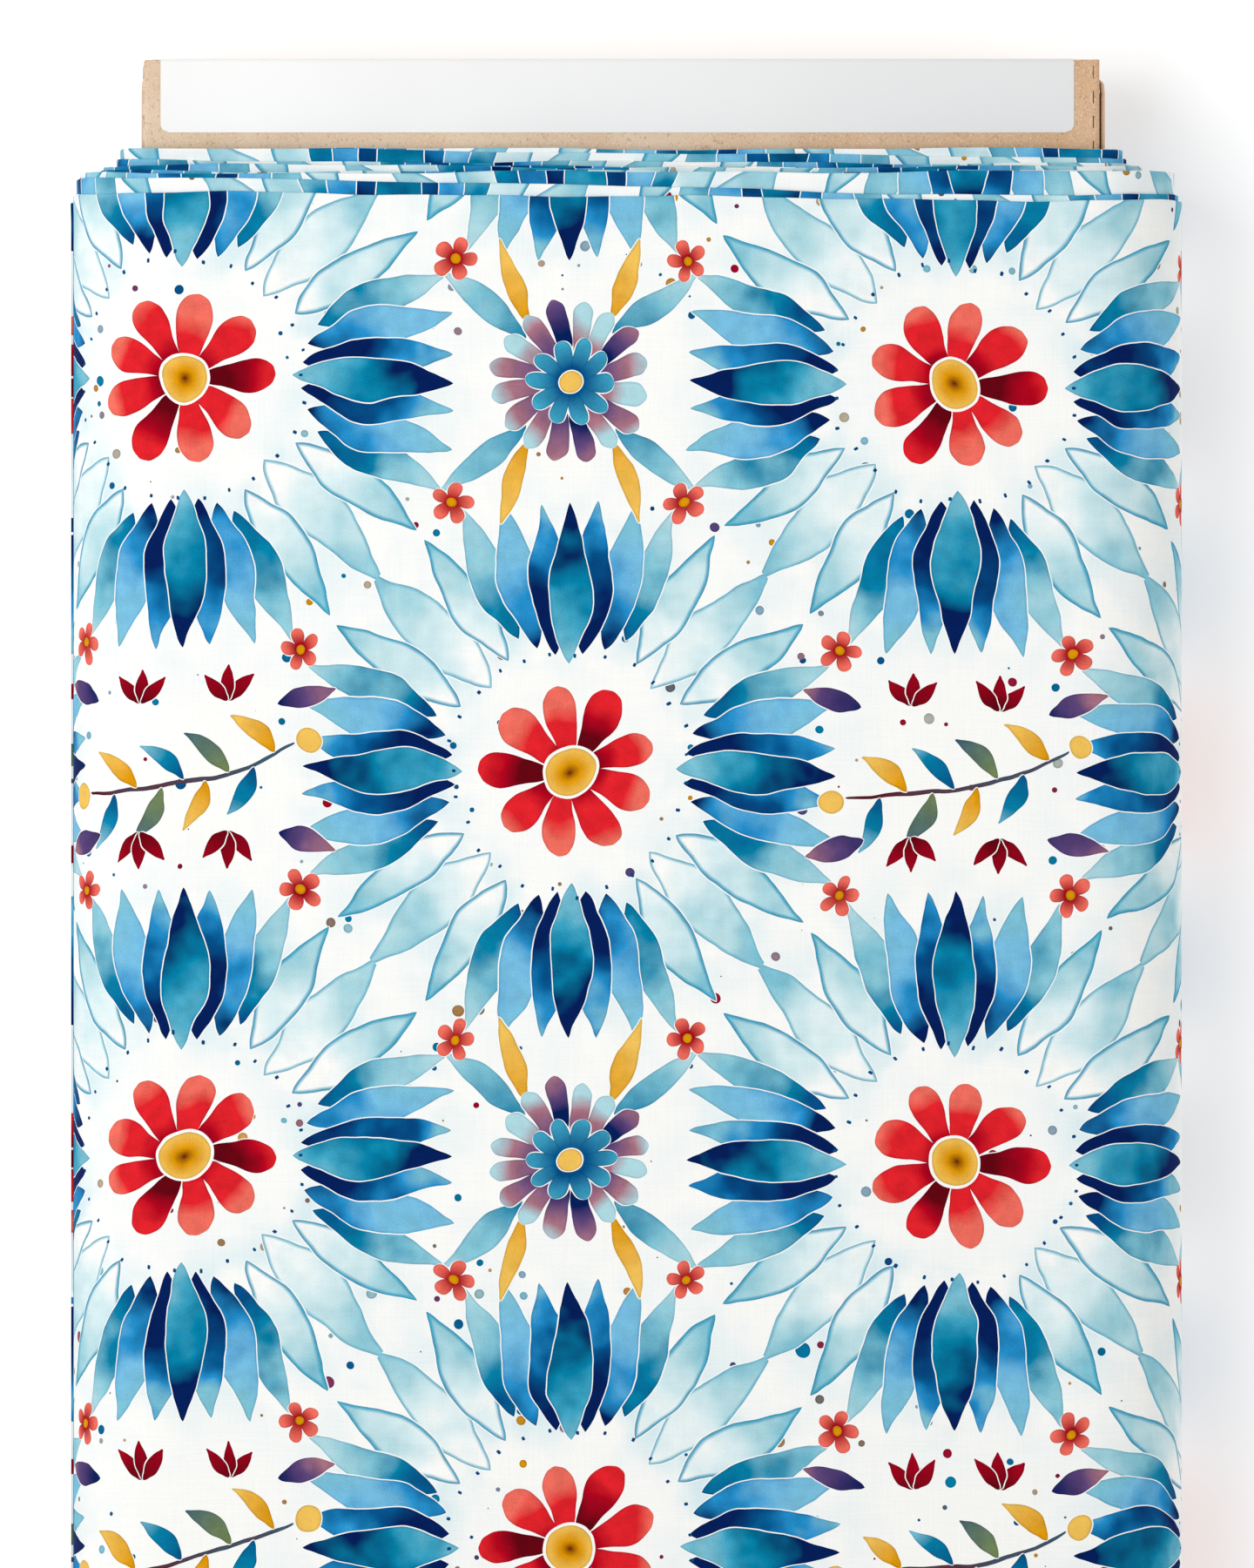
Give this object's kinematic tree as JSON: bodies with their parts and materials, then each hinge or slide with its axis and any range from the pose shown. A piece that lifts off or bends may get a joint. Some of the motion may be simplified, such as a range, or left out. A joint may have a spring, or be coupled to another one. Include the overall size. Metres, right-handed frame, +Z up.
{
  "type": "fabric bolt",
  "caption": "Bolt of floral printed cotton, folded double and wound on a flat corrugated cardboard core with a label and tuck-in end flaps.",
  "frame": {"origin": "centre of the bolt's footprint, on the face it lies on", "axes": "+X across the board, +Y along the board towards the labelled end, +Z up through the board's thickness"},
  "size_m": [0.2363, 0.61, 0.0531],
  "materials": {
    "printed_cotton": "plain-weave cotton with a watercolour floral print",
    "kraft_board": "matt kraft liner with fine speckled fibre",
    "kraft_board_inside": "matt kraft liner, unexposed side",
    "label_paper": "smooth uncoated white paper, blank",
    "tape": "creped double-faced paper tape"
  },
  "bodies": {
    "bolt": {"front_panel": "kraft_board", "left_side_wall": "kraft_board", "right_side_wall": "kraft_board", "back_panel_left": "kraft_board", "back_panel_right": "kraft_board", "left_web": "kraft_board_inside", "right_web": "kraft_board_inside", "left_glue_flange": "kraft_board_inside", "right_glue_flange": "kraft_board_inside", "label_end_dust_flap_left": "kraft_board_inside", "label_end_dust_flap_right": "kraft_board_inside", "plain_end_dust_flap_left": "kraft_board_inside", "plain_end_dust_flap_right": "kraft_board_inside", "label_face_half": "label_paper", "start_tape": "tape", "cloth_roll": "printed_cotton"},
    "label_end_flap": {"label_end_flap": "kraft_board", "label_end_half": "label_paper"},
    "label_end_tuck_tab": {"label_end_tuck_tab": "kraft_board"},
    "plain_end_flap": {"plain_end_flap": "kraft_board"},
    "plain_end_tuck_tab": {"plain_end_tuck_tab": "kraft_board"},
    "cloth_free_end": {"cloth_free_end": "printed_cotton"}
  },
  "joints": [
    {"name": "label_end_flap_hinge", "type": "hinge", "parent": "bolt", "child": "label_end_flap", "pos_m": [0, 0.3048, 0.03626], "axis": [1, 0, 0], "range_deg": [0, 90]},
    {"name": "label_end_tab_score", "type": "hinge", "parent": "label_end_flap", "child": "label_end_tuck_tab", "pos_m": [0, 0.3018, 0.02406], "axis": [-1, 0, 0], "range_deg": [0, 90]},
    {"name": "plain_end_flap_hinge", "type": "hinge", "parent": "bolt", "child": "plain_end_flap", "pos_m": [0, -0.3048, 0.03626], "axis": [-1, 0, 0], "range_deg": [0, 90]},
    {"name": "plain_end_tab_score", "type": "hinge", "parent": "plain_end_flap", "child": "plain_end_tuck_tab", "pos_m": [0, -0.3018, 0.02406], "axis": [1, 0, 0], "range_deg": [0, 90]},
    {"name": "cloth_free_end_lift", "type": "hinge", "parent": "bolt", "child": "cloth_free_end", "pos_m": [-0.11168, 0, 0.00664], "axis": [0, -1, 0], "range_deg": [0, 75]}
  ],
  "couplings": [
    {"joint": "label_end_tab_score", "follows": "label_end_flap_hinge", "ratio": 1},
    {"joint": "plain_end_tab_score", "follows": "plain_end_flap_hinge", "ratio": 1}
  ]
}
